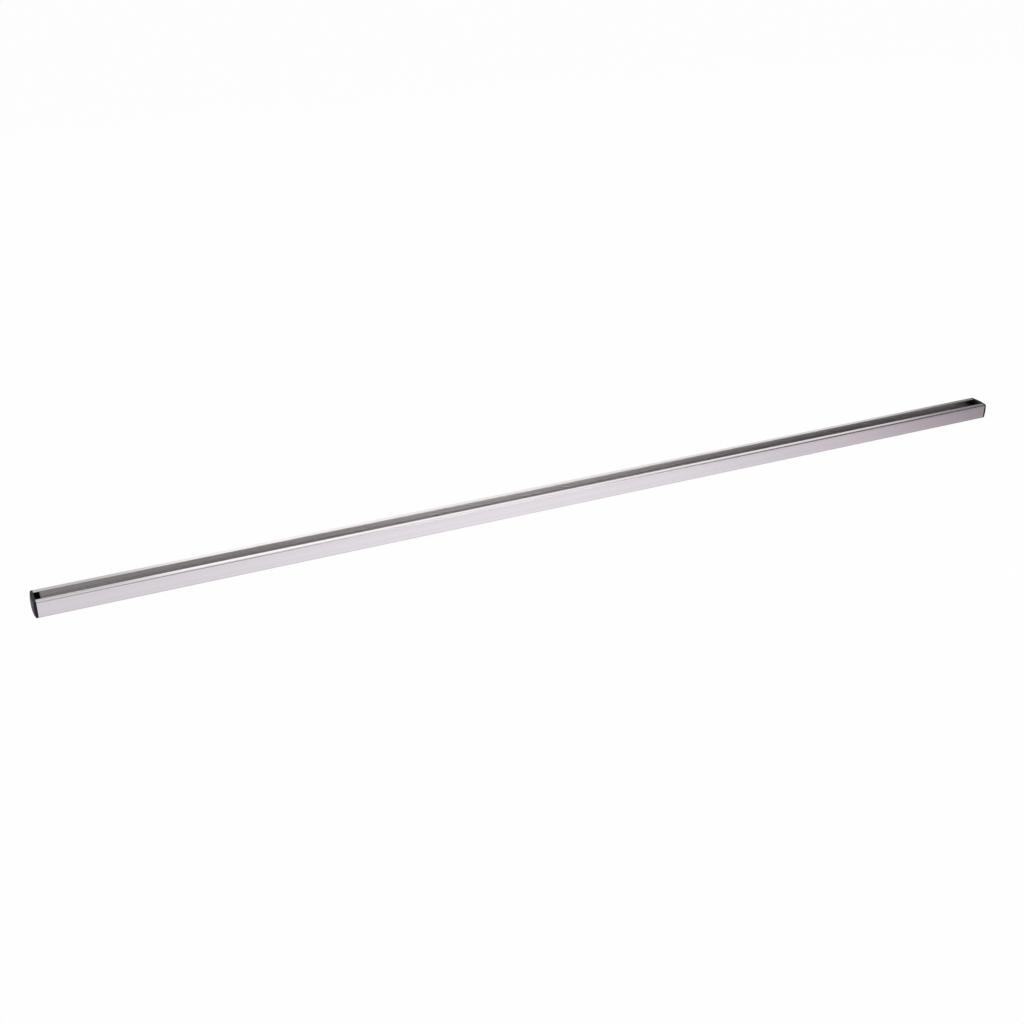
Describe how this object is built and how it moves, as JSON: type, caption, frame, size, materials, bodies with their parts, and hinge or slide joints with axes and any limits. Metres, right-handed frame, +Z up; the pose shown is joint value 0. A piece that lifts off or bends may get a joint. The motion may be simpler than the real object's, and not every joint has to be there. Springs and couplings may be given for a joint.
{
  "type": "roof tent mounting rail",
  "caption": "Long straight aluminium rail, an extrusion with a slot open along its top between two lips for slot bolts, above a hollow chamber, with a black push-in cap closing each end.",
  "frame": {"origin": "under the middle of the rail, on the surface that its flat base lies on", "axes": "+X along the rail from its left cap to its right cap, +Y from the front side to the back side, +Z up, the way the slot opens"},
  "size_m": [1.965, 0.045, 0.03],
  "materials": {
    "anodised_aluminium": "satin silver anodised, fine die lines along the length",
    "black_plastic": "moulded, fine spark-eroded grain"
  },
  "bodies": {
    "root": {"rail_extrusion": "anodised_aluminium", "left_end_cap": "black_plastic", "right_end_cap": "black_plastic"}
  },
  "joints": []
}
